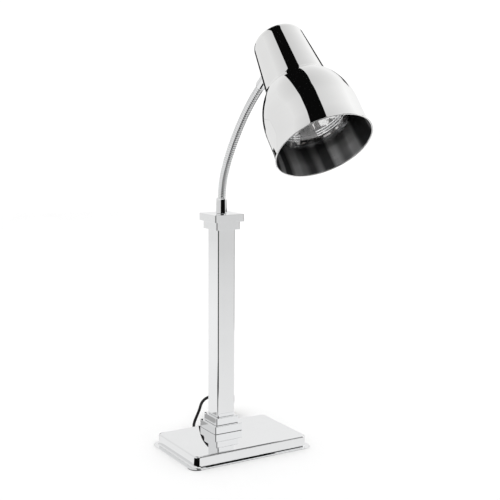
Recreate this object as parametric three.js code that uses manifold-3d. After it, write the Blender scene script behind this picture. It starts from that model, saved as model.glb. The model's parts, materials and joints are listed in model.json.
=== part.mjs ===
// Counter-top heat lamp warmer: a weighted base, a square column, a flexible gooseneck and a spun
// shade with a 125 mm reflector lamp. Millimetres, +Z up, -Y towards the food. The origin is the
// middle of the base's underside, on the table.

import * as THREE from 'three';
import { mergeVertices } from 'three/addons/utils/BufferGeometryUtils.js';
import Module from 'manifold-3d';

const wasm = await Module();
wasm.setup();

// ---------------------------------------------------------------- driving dimensions

const GAP = 0.3; // between pieces that touch
const SHEET = 1.5; // steel sheet of the base cover and the column
const THROUGH = 400; // length of a cutter that goes right through

const BASE = { length: 253, width: 165, top: 24, corner: 10.5, edge: 2, foot: 0.4 };
const FLANGE = { reach: 10, thickness: 1.6 };
const PAD = { inset: 7, thickness: 1.5 };
const PLATE = { inset: 4, bottom: 1.8, thickness: 1.5 };
const BALLAST = { length: 240, width: 150, corner: 7, bottom: 3.6, top: 16.6, bossRadius: 20 };
const BOLT = { radius: 4.85, headAcross: 17, headHeight: 6.4, headBottom: 4, top: 66.4 };
const WASHER = { radius: 10, thickness: 2 };
const PLATE_SCREW = { x: 105, y: 62, headRadius: 3.6, headHeight: 1.1, radius: 1.85, top: 14 };

const COLUMN = { y: 44, side: 40, corner: 1, bottom: 55, top: 436.2 };
const BLOCK = { side: 36.4, thickness: 12 };
const STEPS = {
  plinth_lower: { side: 64, bottom: 24.3, top: 39.7 },
  plinth_upper: { side: 52, bottom: 40, top: 54.7 },
  capital_lower: { side: 54, bottom: 436.5, top: 452.2 },
  capital_upper: { side: 66, bottom: 452.5, top: 467.2 },
};
const STEP_EDGE = 0.8; // chamfer on the plinth and capital steps

const NECK = {
  radius: 7.75,
  bore: 3.6,
  linkLength: 32.7,
  firstHinge: 499.5, // height of the lowest bend above the table
  leans: [8.5, 22.5, 30, 34, 37.5, 41, 45.5, 50.5], // each link's lean from upright, in degrees
};
const STEM = { radius: 4.85, bore: 3.2, socket: 17 }; // threaded tubes at the neck's two ends
const NUT = { across: 15, thickness: 6 };
const LOWER_FERRULE = { foot: 467.5, footRadius: 10.6, topRadius: 10, shoulder: 497.5 };
const UPPER_FERRULE = { length: 41.8, radius: 10.2 };
const COLLAR = { radius: 12, thickness: 6 };
const UPPER_STEM = { from: 34, length: 35, washerRadius: 7, washerThickness: 1.5, nutAcross: 14 };

// Inside the column, from its axis: the tray, the terminal block on it and the cables' routes.
const TRAY = { width: 28, front: -17, back: -4, sheet: 1.2, height: 62 };
const TERMINAL = { width: 27, front: -15.5, back: -4, bottom: 94, top: 112, pitch: 9, bore: 2, boreY: -9.5 };
const SUPPLY_CORES = { diameter: 4, route: [[0, 12.5, 79.5], [0, 2, 80.4], [0, -6, 85], [0, -9.5, 93]] };
const LAMP_CABLE = {
  diameter: 5.2,
  route: [[0, -9.5, 113], [0, -8, 135], [0, -2, 170], [0, 0, 230], [0, 0, 404]],
};

const SHADE = {
  tilt: 51, // the mouth faces this far below the horizontal
  wall: 1.2,
  height: 243,
  barrelRadius: 83.5,
  flareRadius: 135,
  flareTurn: 11.7, // degrees
  flareTop: 28,
  shoulderStart: 58,
  shoulderRadius: 113,
  shoulderTurn: 40, // degrees
  waist: { radius: 56.2, height: 131.6 },
  neckTop: { radius: 46.4, height: 223 },
  cornerRadius: 20,
  mountHeight: 208, // where the gooseneck enters, above the mouth
};

const LAMP = {
  glassWall: 1,
  capRadius: 13,
  capBottom: 168,
  capTop: 196,
  tip: 202.6,
};
const HOLDER = { radius: 22, bottom: 174, top: 225.2, bore: 15.6, boreTop: 206, shellRadius: 15.3 };
const BRACKET = { width: 16, thickness: 1.5, face: 43.6, bottom: 198, top: 227, end: -14 };
const HOLDER_WIRES = { diameter: 4, route: [[0, 33.7, 208], [0, 30, 208.6], [0, 26, 212], [0, 22.4, 215]] };

const GLAND = { z: 79.5, flangeRadius: 8.5, rootRadius: 5.8, tipRadius: 4.5, length: 20.6 };
const SWITCH = {
  z: 122,
  bezel: [15, 21],
  bezelThickness: 2,
  body: [12.4, 18.6],
  bodyDepth: 6, // how near its back comes to the column's axis
  pocket: [10.8, 16.6],
  pocketDepth: 5.4, // behind the pivot
  pivot: 17, // from the column's axis
  tabSpacing: 10,
  tabLength: 7,
};
const ROCKER = { width: 10, half: 7.2, rise: 4.8, offTilt: 10 };

const CORD = { diameter: 6, sides: 10 };
const HANK = {
  x: 59.6, y: 150, yaw: -31.3, // its long axis, in degrees from +Y
  runs: 33, outerFold: 24, bottom: 1.3, layers: 3,
};
const TIE = { at: -12, width: 15, thickness: 1 };
const PLUG = { at: 22, side: 25, length: 38, lateral: 15.5, relief: 25 };

// The cord from the gland to the hank: out, down to the table, and round on to the base's flange.
const CORD_ROUTE = [
  [0, 58, 79.5], [0, 73, 79.5], [0, 86.5, 79.5], [-0.7, 93, 77.7], [-2.4, 99.4, 74.2], [-4.1, 106.4, 69.4],
  [-4.9, 113.8, 63.3], [-4.4, 121, 56.3], [-3.1, 127.6, 48.8], [-2.7, 132.6, 40.3], [-4.8, 135.5, 31.2],
  [-9.4, 135.2, 22.4], [-15.4, 131.3, 14.9], [-20.8, 124.3, 9.5], [-23.9, 115, 6.4], [-23.4, 105.2, 5.3],
  [-19.2, 96.4, 5.5], [-11.8, 89.9, 5.9], [-2.4, 87, 6], [6.9, 87.2, 6], [16, 89.4, 5.8],
  [26.7, 92.9, 5.3], [36.8, 96, 4.8], [47, 98.2, 4.3],
];

// The cord from the hank's last turn to the plug, in the hank's own frame: round over the near
// folds and back along the top.
const TAIL_ROUTE = [
  [-24, -21, 16.3], [-24, -32, 16.7], [-21.4, -43.7, 17.7], [-12.7, -53.2, 19.1], [-0.6, -56.7, 20.5],
  [11.4, -53.2, 22], [19, -44.5, 23.8], [21, -34.5, 26.2], [19.4, -25, 29.1], [16.9, -16.5, 31.4],
  [15.6, -9.5, 32.1], [15.5, -3.4, 32.1],
];

const rad = THREE.MathUtils.degToRad;

// ---------------------------------------------------------------- materials

const finish = (color, roughness, metalness) =>
  new THREE.MeshStandardMaterial({ color, roughness, metalness });
const CHROME = finish(0xdadcde, 0.06, 1);
const STEEL = finish(0xa8aaad, 0.35, 1);
const IRON = finish(0x3c3d3f, 0.7, 0.6);
const BRASS = finish(0xc8a860, 0.3, 1);
const RUBBER = finish(0x141414, 0.6, 0);
const PORCELAIN = finish(0xe9e6df, 0.25, 0);
const NYLON = finish(0xe4e2da, 0.5, 0);
const GLASS = finish(0xe6ecef, 0.05, 0);
const TUNGSTEN = finish(0x8c8478, 0.4, 1);

// ---------------------------------------------------------------- shape tools

/** A three.js geometry as a manifold solid. */
function solid(geometry) {
  const bare = geometry.clone();
  bare.deleteAttribute('normal');
  bare.deleteAttribute('uv');
  const merged = mergeVertices(bare, 1e-4);
  const index = merged.index.array;
  const triangles = [];
  for (let i = 0; i < index.length; i += 3) {
    const [a, b, c] = [index[i], index[i + 1], index[i + 2]];
    if (a !== b && b !== c && c !== a) triangles.push(a, b, c);
  }
  return new wasm.Manifold(new wasm.Mesh({
    numProp: 3,
    vertProperties: Float32Array.from(merged.attributes.position.array),
    triVerts: Uint32Array.from(triangles),
  }));
}

/** A manifold solid back as a three.js geometry. */
function geometryOf(shape) {
  const mesh = shape.getMesh();
  const geometry = new THREE.BufferGeometry();
  geometry.setAttribute('position', new THREE.BufferAttribute(mesh.vertProperties, 3));
  geometry.setIndex(new THREE.BufferAttribute(mesh.triVerts, 1));
  geometry.computeVertexNormals();
  return geometry;
}

function piece(name, shape, material) {
  const mesh = new THREE.Mesh(shape.isBufferGeometry ? shape : geometryOf(shape), material);
  mesh.name = name;
  return mesh;
}

function roundedRectangle(width, depth, corner) {
  const x = width / 2;
  const y = depth / 2;
  const shape = new THREE.Shape();
  shape.moveTo(-x + corner, -y);
  shape.lineTo(x - corner, -y);
  shape.absarc(x - corner, -y + corner, corner, -Math.PI / 2, 0);
  shape.lineTo(x, y - corner);
  shape.absarc(x - corner, y - corner, corner, 0, Math.PI / 2);
  shape.lineTo(-x + corner, y);
  shape.absarc(-x + corner, y - corner, corner, Math.PI / 2, Math.PI);
  shape.lineTo(-x, -y + corner);
  shape.absarc(-x + corner, -y + corner, corner, Math.PI, 1.5 * Math.PI);
  return shape;
}

/** An upright prism between two heights, with its corners rounded. */
function prism(width, depth, corner, bottom, top, curveSegments = 4) {
  const outline = roundedRectangle(width, depth, corner);
  const settings = { depth: top - bottom, bevelEnabled: false, curveSegments };
  const geometry = new THREE.ExtrudeGeometry(outline, settings);
  return geometry.translate(0, 0, bottom);
}

/** A prism whose edges are all rounded or chamfered by `edge`. */
function softPrism(width, depth, corner, bottom, top, edge, bevelSegments = 1, curveSegments = 4) {
  const outline = roundedRectangle(width - 2 * edge, depth - 2 * edge, Math.max(corner - edge, 0.2));
  const geometry = new THREE.ExtrudeGeometry(outline, {
    depth: top - bottom - 2 * edge, bevelThickness: edge, bevelSize: edge, bevelSegments, curveSegments,
  });
  return geometry.translate(0, 0, bottom + edge);
}

/** A box between two corners. */
function block(low, high) {
  const size = high.map((value, axis) => value - low[axis]);
  const middle = high.map((value, axis) => (value + low[axis]) / 2);
  return new THREE.BoxGeometry(...size).translate(...middle);
}

/** A solid of revolution about Z from [radius, height] points, closed on itself or on the axis. */
function turned(points, segments = 18) {
  const closed = points[0][0] > 0 ? [...points, points[0]] : points;
  let area = 0;
  closed.forEach(([r, z], i) => {
    const [r2, z2] = closed[(i + 1) % closed.length];
    area += r * z2 - r2 * z;
  });
  const ordered = area > 0 ? closed : [...closed].reverse();
  const profile = ordered.map(([r, z]) => new THREE.Vector2(r, z));
  return new THREE.LatheGeometry(profile, segments).rotateX(Math.PI / 2);
}

function rod(radius, bottom, top, segments = 18) {
  return turned([[0, bottom], [radius, bottom], [radius, top], [0, top]], segments);
}

function sleeve(outer, inner, bottom, top, segments = 18) {
  return turned([[inner, bottom], [outer, bottom], [outer, top], [inner, top]], segments);
}

/** A hexagon prism with a round hole. */
function hexNut(across, hole, bottom, top) {
  const hexagon = rod(across / Math.sqrt(3), bottom, top, 6);
  return solid(hexagon).subtract(solid(rod(hole, bottom - 1, top + 1)));
}

/** A round tube along a smooth curve through the points. */
function cable(points, diameter, sides = CORD.sides) {
  const path = new THREE.CatmullRomCurve3(points.map((p) => new THREE.Vector3(...p)), false, 'centripetal');
  const section = new THREE.Shape();
  for (let i = 0; i < sides; i += 1) {
    const angle = (2 * Math.PI * i) / sides;
    const [x, y] = [Math.cos(angle) * diameter / 2, Math.sin(angle) * diameter / 2];
    if (i === 0) section.moveTo(x, y);
    else section.lineTo(x, y);
  }
  const steps = Math.max(4, Math.round(path.getLength() / (2 * diameter)));
  return new THREE.ExtrudeGeometry(section, { steps, extrudePath: path, bevelEnabled: false });
}

/** Points on an arc in [radius, height] space: angles in degrees, from +radius towards +height. */
function arc(centre, radius, from, to, steps) {
  return Array.from({ length: steps + 1 }, (_, i) => {
    const angle = rad(from + ((to - from) * i) / steps);
    return [centre[0] + radius * Math.cos(angle), centre[1] + radius * Math.sin(angle)];
  });
}

// ---------------------------------------------------------------- base

function baseCover() {
  const { length, width, top, corner, edge, foot } = BASE;
  const body = solid(softPrism(length, width, corner, foot - edge, top, edge, 3, 6));
  const below = solid(block([-length, -width, -10], [length, width, foot]));
  const flange = solid(prism(
    length + 2 * FLANGE.reach, width + 2 * FLANGE.reach, corner + FLANGE.reach,
    foot, foot + FLANGE.thickness, 8,
  ));
  const inside = solid(prism(length - 2 * SHEET, width - 2 * SHEET, corner - SHEET, -10, top - SHEET, 6));
  const boltHole = solid(rod(BOLT.radius + GAP, 0, THROUGH).translate(0, COLUMN.y, 0));
  return body.subtract(below).add(flange).subtract(inside).subtract(boltHole);
}

function ballast() {
  const { length, width, corner, bottom, top, bossRadius } = BALLAST;
  const bossTop = BASE.top - SHEET - GAP;
  const slab = solid(prism(length, width, corner, bottom, top));
  const boss = solid(rod(bossRadius, bottom, bossTop, 32).translate(0, COLUMN.y, 0));
  const pocketTop = BOLT.headBottom + BOLT.headHeight + WASHER.thickness + 2 * GAP;
  const pocket = solid(rod(WASHER.radius + 2, 0, pocketTop).translate(0, COLUMN.y, 0));
  const boltHole = solid(rod(BOLT.radius + GAP, 0, THROUGH).translate(0, COLUMN.y, 0));
  const drilled = slab.add(boss).subtract(pocket).subtract(boltHole);
  return plateScrewPlaces().reduce(
    (shape, [x, y]) => {
      const hole = rod(PLATE_SCREW.radius + GAP, 0, PLATE_SCREW.top + GAP, 12);
      return shape.subtract(solid(hole.translate(x, y, 0)));
    },
    drilled,
  );
}

function plateScrewPlaces() {
  const { x, y } = PLATE_SCREW;
  return [[-x, -y], [x, -y], [-x, y], [x, y]];
}

function bottomPlate() {
  const { inset, bottom, thickness } = PLATE;
  const plate = solid(prism(
    BASE.length - inset, BASE.width - inset, BASE.corner - inset / 2, bottom, bottom + thickness,
  ));
  return plateScrewPlaces().reduce((shape, [x, y]) => {
    const hole = rod(PLATE_SCREW.radius + GAP, 0, THROUGH, 12);
    const sink = rod(PLATE_SCREW.headRadius + GAP, 0, bottom + PLATE_SCREW.headHeight + GAP, 16);
    return shape.subtract(solid(hole.translate(x, y, 0))).subtract(solid(sink.translate(x, y, 0)));
  }, plate);
}

function plateScrews() {
  const { headRadius, headHeight, radius, top } = PLATE_SCREW;
  return plateScrewPlaces().map(([x, y], i) => {
    const { bottom } = PLATE;
    const profile = [[0, bottom], [headRadius, bottom], [headRadius, bottom + headHeight],
      [radius, bottom + headHeight], [radius, top], [0, top]];
    return piece(`plate_screw_${i + 1}`, turned(profile, 12).translate(x, y, 0), STEEL);
  });
}

function basePad() {
  const { inset, thickness } = PAD;
  return prism(BASE.length - 2 * inset, BASE.width - 2 * inset, BASE.corner - inset / 2, 0, thickness);
}

function baseBolt() {
  const headTop = BOLT.headBottom + BOLT.headHeight;
  const head = rod(BOLT.headAcross / Math.sqrt(3), BOLT.headBottom, headTop, 6);
  return solid(head).add(solid(rod(BOLT.radius, headTop - 1, BOLT.top)));
}

function base() {
  const washerBottom = BOLT.headBottom + BOLT.headHeight + GAP;
  const bolt = piece('base_bolt', baseBolt(), STEEL);
  const washer = piece(
    'base_bolt_washer',
    sleeve(WASHER.radius, BOLT.radius + GAP, washerBottom, washerBottom + WASHER.thickness),
    STEEL,
  );
  bolt.position.y = COLUMN.y;
  washer.position.y = COLUMN.y;
  return [
    piece('base_cover', baseCover(), CHROME),
    piece('base_ballast', ballast(), IRON),
    piece('base_bottom_plate', bottomPlate(), STEEL),
    piece('base_pad', basePad(), RUBBER),
    ...plateScrews(),
    bolt,
    washer,
  ];
}

// ---------------------------------------------------------------- column

function steps() {
  return Object.entries(STEPS).map(([name, { side, bottom, top }]) => {
    const body = solid(softPrism(side, side, 1.5, bottom, top, STEP_EDGE, 1, 2));
    return piece(name, body.subtract(solid(rod(STEM.radius + GAP, 0, 2 * THROUGH))), CHROME);
  });
}

function columnTube() {
  const { side, corner, bottom, top } = COLUMN;
  const inner = side - 2 * SHEET;
  const tube = solid(prism(side, side, corner, bottom, top)).subtract(
    solid(prism(inner, inner, 0.3, bottom - 1, top + 1, 1)),
  );
  const rear = side / 2 - SHEET - 1;
  const glandRod = rod(GLAND.rootRadius + 2 * GAP, 0, 10).rotateX(-Math.PI / 2);
  const glandHole = solid(glandRod.translate(0, rear, GLAND.z));
  const [width, height] = SWITCH.body.map((size) => size / 2 + GAP);
  const switchHole = solid(block([-width, rear, SWITCH.z - height], [width, rear + 10, SWITCH.z + height]));
  return tube.subtract(glandHole).subtract(switchHole);
}

function endBlock(bottom, hole) {
  const body = solid(prism(BLOCK.side, BLOCK.side, 0.3, bottom, bottom + BLOCK.thickness, 1));
  return body.subtract(solid(rod(hole, 0, 2 * THROUGH)));
}

function wiringBracket() {
  const { width, front, back, sheet, height } = TRAY;
  const foot = COLUMN.bottom + BLOCK.thickness + GAP;
  const floor = solid(block([-width / 2, front, foot], [width / 2, back, foot + sheet]));
  const wall = solid(block([-width / 2, front, foot], [width / 2, front + sheet, foot + height]));
  return floor.add(wall);
}

function terminalBlock() {
  const { width, front, back, bottom, top, pitch, bore, boreY } = TERMINAL;
  const body = solid(block([-width / 2, front, bottom], [width / 2, back, top]));
  return [-pitch, 0, pitch].reduce(
    (shape, x) => shape.subtract(solid(rod(bore, bottom - 1, top + 1, 12).translate(x, boreY, 0))),
    body,
  );
}

function column() {
  const group = new THREE.Group();
  group.position.y = COLUMN.y;
  const footHole = BOLT.radius + GAP;
  const headBottom = COLUMN.top - GAP - BLOCK.thickness;
  const washerTop = headBottom - GAP;
  const washerBottom = washerTop - WASHER.thickness;
  const nutTop = washerBottom - GAP;
  const stemBottom = nutTop - NUT.thickness - 3;
  const stemTop = LOWER_FERRULE.foot + STEM.socket - 1;
  group.add(
    ...steps(),
    piece('column_tube', columnTube(), CHROME),
    piece('column_foot_block', endBlock(COLUMN.bottom, footHole), STEEL),
    piece('column_head_block', endBlock(headBottom, STEM.radius + GAP), STEEL),
    piece('wiring_bracket', wiringBracket(), STEEL),
    piece('terminal_block', terminalBlock(), NYLON),
    piece('supply_cores', cable(SUPPLY_CORES.route, SUPPLY_CORES.diameter, 8), RUBBER),
    piece('lamp_cable', cable(LAMP_CABLE.route, LAMP_CABLE.diameter, 8), RUBBER),
    piece('neck_stem', sleeve(STEM.radius, STEM.bore, stemBottom, stemTop), STEEL),
    piece('neck_stem_washer', sleeve(WASHER.radius, STEM.radius + GAP, washerBottom, washerTop), STEEL),
    piece('neck_stem_nut', hexNut(NUT.across, STEM.radius + GAP, nutTop - NUT.thickness, nutTop), STEEL),
  );
  return group;
}

// ---------------------------------------------------------------- switch

/** The rocker switch's fixed shell: y is outwards from the column's axis, z is up. */
function switchBody() {
  const { bezelThickness, bodyDepth, pocketDepth, pivot, tabSpacing, tabLength } = SWITCH;
  const face = COLUMN.side / 2 + GAP;
  const [bezelX, bezelZ] = SWITCH.bezel.map((size) => size / 2);
  const [bodyX, bodyZ] = SWITCH.body.map((size) => size / 2);
  const [pocketX, pocketZ] = SWITCH.pocket.map((size) => size / 2);
  const bezel = solid(block([-bezelX, face, -bezelZ], [bezelX, face + bezelThickness, bezelZ]));
  const shell = solid(block([-bodyX, bodyDepth, -bodyZ], [bodyX, face + 1, bodyZ]));
  const pocket = solid(block([-pocketX, pivot - pocketDepth, -pocketZ], [pocketX, face + 5, pocketZ]));
  const tabs = [-tabSpacing / 2, tabSpacing / 2].map(
    (z) => solid(block([-3.1, bodyDepth - tabLength, z - 0.4], [3.1, bodyDepth + 1, z + 0.4])),
  );
  return tabs.reduce((shape, tab) => shape.add(tab), bezel.add(shell).subtract(pocket));
}

function switchRocker() {
  const { width, half, rise } = ROCKER;
  const outline = new THREE.Shape([
    [-half, rise], [-half, rise - 3], [-3, -4.2], [3, -4.2], [half, rise - 3], [half, rise], [0, rise - 1.1],
  ].map(([z, y]) => new THREE.Vector2(z, y)));
  const body = new THREE.ExtrudeGeometry(outline, { depth: width, bevelEnabled: false });
  return body.translate(0, 0, -width / 2).rotateY(Math.PI / 2);
}

function powerSwitch() {
  const group = new THREE.Group();
  group.position.set(0, COLUMN.y, SWITCH.z);
  const rocker = piece('switch_rocker', switchRocker(), RUBBER);
  rocker.position.y = SWITCH.pivot;
  rocker.rotation.x = rad(ROCKER.offTilt);
  group.add(piece('switch_body', switchBody(), RUBBER), rocker);
  return group;
}

// ---------------------------------------------------------------- gooseneck

/** The ball that ends a link, from its equator to the bore: points from the outside in. */
function ball(height) {
  const top = Math.acos(NECK.bore / NECK.radius);
  return arc([0, height], NECK.radius, 0, THREE.MathUtils.radToDeg(top), 3);
}

/** The hollow that fits over the ball below, from the bore out to the link's side. */
function socket() {
  const radius = NECK.radius + GAP;
  const from = THREE.MathUtils.radToDeg(Math.acos(NECK.bore / radius));
  const to = THREE.MathUtils.radToDeg(Math.acos(NECK.radius / radius));
  return arc([0, 0], radius, from, to, 3);
}

function lowerFerrule() {
  const { foot, footRadius, topRadius, shoulder } = LOWER_FERRULE;
  const stemTop = foot + STEM.socket;
  return turned([
    [STEM.radius + GAP, foot], [footRadius, foot],
    [topRadius, shoulder - 2.5], [topRadius - 0.7, shoulder - 0.7],
    [NECK.radius, shoulder], ...ball(NECK.firstHinge),
    [NECK.bore, stemTop], [STEM.radius + GAP, stemTop],
  ]);
}

function link() {
  return turned([...socket(), ...ball(NECK.linkLength)]);
}

function upperFerrule() {
  const { length, radius } = UPPER_FERRULE;
  const stemBottom = length - STEM.socket;
  return turned([
    ...socket(), [radius - 0.7, 3.4], [radius, 5.2], [radius, length],
    [STEM.radius + GAP, length], [STEM.radius + GAP, stemBottom], [NECK.bore, stemBottom],
  ]);
}

/** Each bend's centre, from the lower ferrule's top to the upper ferrule's foot. */
function bends() {
  const places = [new THREE.Vector3(0, COLUMN.y, NECK.firstHinge)];
  NECK.leans.forEach((lean) => {
    const along = new THREE.Vector3(0, -Math.sin(rad(lean)), Math.cos(rad(lean)));
    const step = along.multiplyScalar(NECK.linkLength);
    places.push(places[places.length - 1].clone().add(step));
  });
  return places;
}

function gooseneck() {
  const places = bends();
  const foot = piece('neck_lower_ferrule', lowerFerrule(), CHROME);
  foot.position.y = COLUMN.y;
  const links = NECK.leans.map((lean, i) => {
    const mesh = piece(`neck_link_${i + 1}`, link(), CHROME);
    mesh.position.copy(places[i]);
    mesh.rotation.x = rad(lean);
    return mesh;
  });
  const top = piece('neck_upper_ferrule', upperFerrule(), CHROME);
  top.position.copy(places[places.length - 1]);
  top.rotation.x = rad(SHADE.tilt);
  return [foot, ...links, top];
}

// ---------------------------------------------------------------- shade, in its own frame
// z runs up the shade's axis from its mouth, and +y is the side that the gooseneck enters.

/** The outside of the shade from the crown to the rim. */
function shadeOutline() {
  const { barrelRadius, flareRadius, flareTurn, flareTop } = SHADE;
  const { shoulderStart, shoulderRadius, shoulderTurn } = SHADE;
  const { waist, neckTop, cornerRadius, height } = SHADE;
  const corner = arc([neckTop.radius - cornerRadius, neckTop.height], cornerRadius, 78, 0, 3);
  const shoulder = arc([barrelRadius - shoulderRadius, shoulderStart], shoulderRadius, shoulderTurn, 0, 3);
  const flare = arc([barrelRadius + flareRadius, flareTop], flareRadius, 180, 180 + flareTurn, 3);
  return [[0, height], ...corner, [waist.radius, waist.height], ...shoulder, ...flare];
}

/** The same outline moved inwards by the wall. */
function shadeInside() {
  const outline = shadeOutline();
  return outline.map(([r, z], i) => {
    const [r0, z0] = outline[Math.max(i - 1, 0)];
    const [r1, z1] = outline[Math.min(i + 1, outline.length - 1)];
    const length = Math.hypot(r1 - r0, z1 - z0);
    const inward = [(z1 - z0) / length, -(r1 - r0) / length];
    return i === 0 ? [0, z - SHADE.wall] : [r + inward[0] * SHADE.wall, z + inward[1] * SHADE.wall];
  });
}

function shadeShell() {
  const outside = shadeOutline();
  const [rimRadius, rimHeight] = outside[outside.length - 1];
  const bead = arc([rimRadius, rimHeight], 1.4, 60, -200, 5);
  const profile = [...outside.slice(0, -1), ...bead, ...shadeInside().slice(0, -1).reverse()];
  const hole = rod(STEM.radius + GAP, 0, THROUGH).rotateX(-Math.PI / 2).translate(0, 0, SHADE.mountHeight);
  return solid(turned(profile, 36)).subtract(solid(hole));
}

/** The shade's outside radius at the gooseneck's entry. */
function mountRadius() {
  const { waist, neckTop, mountHeight } = SHADE;
  const share = (mountHeight - waist.height) / (neckTop.height - waist.height);
  return THREE.MathUtils.lerp(waist.radius, neckTop.radius, share);
}

/** Turns a solid made along +z so that it runs from `from` along +y at the mount's height. */
function acrossMount(geometry, from) {
  return geometry.rotateX(-Math.PI / 2).translate(0, from, SHADE.mountHeight);
}

function mountCollar() {
  const wall = mountRadius();
  const disc = solid(acrossMount(sleeve(COLLAR.radius, STEM.radius + GAP, -4, COLLAR.thickness), wall));
  const { waist, neckTop } = SHADE;
  const neck = turned([
    [0, waist.height], [waist.radius + GAP, waist.height],
    [neckTop.radius + GAP, neckTop.height], [0, neckTop.height],
  ], 36);
  return disc.subtract(solid(neck));
}

function lampGlass() {
  const outside = [
    [0, 31], [32, 33.2], [54, 38.2], [61, 45], [62.2, 55], [56.5, 76], [42, 110], [28, 137], [22.8, 156],
    [19.5, 161.5], [12.4, 167.7],
  ];
  const inside = outside.slice(1).map(([r, z]) => [r - LAMP.glassWall, z + (z < 50 ? LAMP.glassWall : 0)]);
  return turned([...outside, ...inside.reverse(), [0, 31 + LAMP.glassWall]], 28);
}

function lampCap() {
  const { capRadius, capBottom, capTop, tip } = LAMP;
  return turned([
    [capRadius - 1, capBottom], [capRadius, capBottom], [capRadius, capTop - 3],
    [9, capTop], [5, tip - 2], [0, tip],
    [0, tip - 3], [4, capTop - 3], [capRadius - 1, capTop - 6],
  ]);
}

function lampFilament() {
  const post = cable([[0, 0, 168], [0, 0, 140], [2, 0, 112]], 2, 6);
  const coilRoute = [[2, 0, 112], [9, 8, 108], [0, 14, 106], [-9, 8, 106], [-9, -6, 106], [0, -13, 106]];
  const coil = cable(coilRoute, 2.4, 6);
  return solid(post).add(solid(coil));
}

function holderBody() {
  const { radius, bottom, top, bore, boreTop } = HOLDER;
  return turned([
    [bore, bottom], [radius - 1, bottom], [radius, bottom + 1], [radius, boreTop], [radius - 3, boreTop + 3],
    [radius - 3, top - 1], [radius - 4, top], [0, top], [0, boreTop], [bore, boreTop],
  ], 24);
}

function holderBracket() {
  const { width, thickness, face, bottom, top, end } = BRACKET;
  const wall = solid(block([-width / 2, face - thickness, bottom], [width / 2, face, top]));
  const shelf = solid(block([-width / 2, end, top - thickness], [width / 2, face, top]));
  const hole = solid(acrossMount(rod(STEM.radius + GAP, 0, THROUGH), 0));
  return wall.subtract(hole).add(shelf);
}

function head() {
  const wall = mountRadius();
  const hinge = bends().pop();
  const inwards = new THREE.Vector3(0, -Math.sin(rad(SHADE.tilt)), Math.cos(rad(SHADE.tilt)));
  const up = new THREE.Vector3(0, Math.cos(rad(SHADE.tilt)), Math.sin(rad(SHADE.tilt)));
  const reach = UPPER_FERRULE.length + GAP + COLLAR.thickness + wall;
  const group = new THREE.Group();
  group.position.copy(hinge).addScaledVector(inwards, reach).addScaledVector(up, -SHADE.mountHeight);
  group.rotation.x = rad(SHADE.tilt - 90);
  const washerFrom = BRACKET.face + GAP;
  const nutTo = BRACKET.face - BRACKET.thickness - GAP;
  const { from, length, washerRadius, washerThickness, nutAcross } = UPPER_STEM;
  group.add(
    piece('shade', shadeShell(), CHROME),
    piece('mount_collar', mountCollar(), CHROME),
    piece('upper_stem', acrossMount(sleeve(STEM.radius, STEM.bore, 0, length), from), STEEL),
    piece(
      'upper_washer',
      acrossMount(sleeve(washerRadius, STEM.radius + GAP, 0, washerThickness), washerFrom),
      STEEL,
    ),
    piece(
      'upper_nut',
      acrossMount(geometryOf(hexNut(nutAcross, STEM.radius + GAP, -NUT.thickness, 0)), nutTo),
      STEEL,
    ),
    piece('holder_bracket', holderBracket(), STEEL),
    piece('holder_body', holderBody(), PORCELAIN),
    piece(
      'holder_shell',
      sleeve(HOLDER.shellRadius, LAMP.capRadius + GAP, HOLDER.bottom + 2, HOLDER.boreTop - 2),
      BRASS,
    ),
    piece('holder_contact', rod(4, HOLDER.boreTop - 2.6, HOLDER.boreTop - GAP, 12), BRASS),
    piece('lamp_glass', lampGlass(), GLASS),
    piece('lamp_cap', lampCap(), BRASS),
    piece('lamp_filament', lampFilament(), TUNGSTEN),
    piece('holder_wires', cable(HOLDER_WIRES.route, HOLDER_WIRES.diameter, 8), RUBBER),
  );
  return group;
}

// ---------------------------------------------------------------- cord, put away behind the base

/** A flat oval with round ends, in the hank's own frame: its long axis is +y. */
function oval(radius, bottom, top) {
  const { runs } = HANK;
  const shape = new THREE.Shape();
  shape.moveTo(radius, -runs);
  shape.lineTo(radius, runs);
  shape.absarc(0, runs, radius, 0, Math.PI);
  shape.lineTo(-radius, -runs);
  shape.absarc(0, -runs, radius, Math.PI, 2 * Math.PI);
  const settings = { depth: top - bottom, bevelEnabled: false, curveSegments: 12 };
  const geometry = new THREE.ExtrudeGeometry(shape, settings);
  return geometry.translate(0, 0, bottom);
}

function hankSpace(spare) {
  const { bottom, layers, outerFold } = HANK;
  const top = bottom + layers * CORD.diameter;
  return solid(oval(outerFold + CORD.diameter / 2 + spare, bottom - spare, top + spare));
}

function toHankFrame([x, y, z]) {
  const place = new THREE.Vector3(x - HANK.x, y - HANK.y, z);
  return place.applyAxisAngle(new THREE.Vector3(0, 0, 1), -rad(HANK.yaw)).toArray();
}

/** The height of the plug's axis, lying on the hank. */
function plugAxis() {
  return HANK.bottom + HANK.layers * CORD.diameter + GAP + PLUG.side / 2;
}

function cordTie() {
  const { bottom, layers, outerFold } = HANK;
  const half = outerFold + CORD.diameter / 2 + GAP;
  const top = bottom + layers * CORD.diameter + GAP;
  const [low, high] = [TIE.at - TIE.width / 2, TIE.at + TIE.width / 2];
  const wide = half + TIE.thickness;
  const outer = solid(block([-wide, low, 0], [wide, high, top + TIE.thickness]));
  return outer.subtract(solid(block([-half, low - 1, TIE.thickness], [half, high + 1, top])));
}

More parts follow.
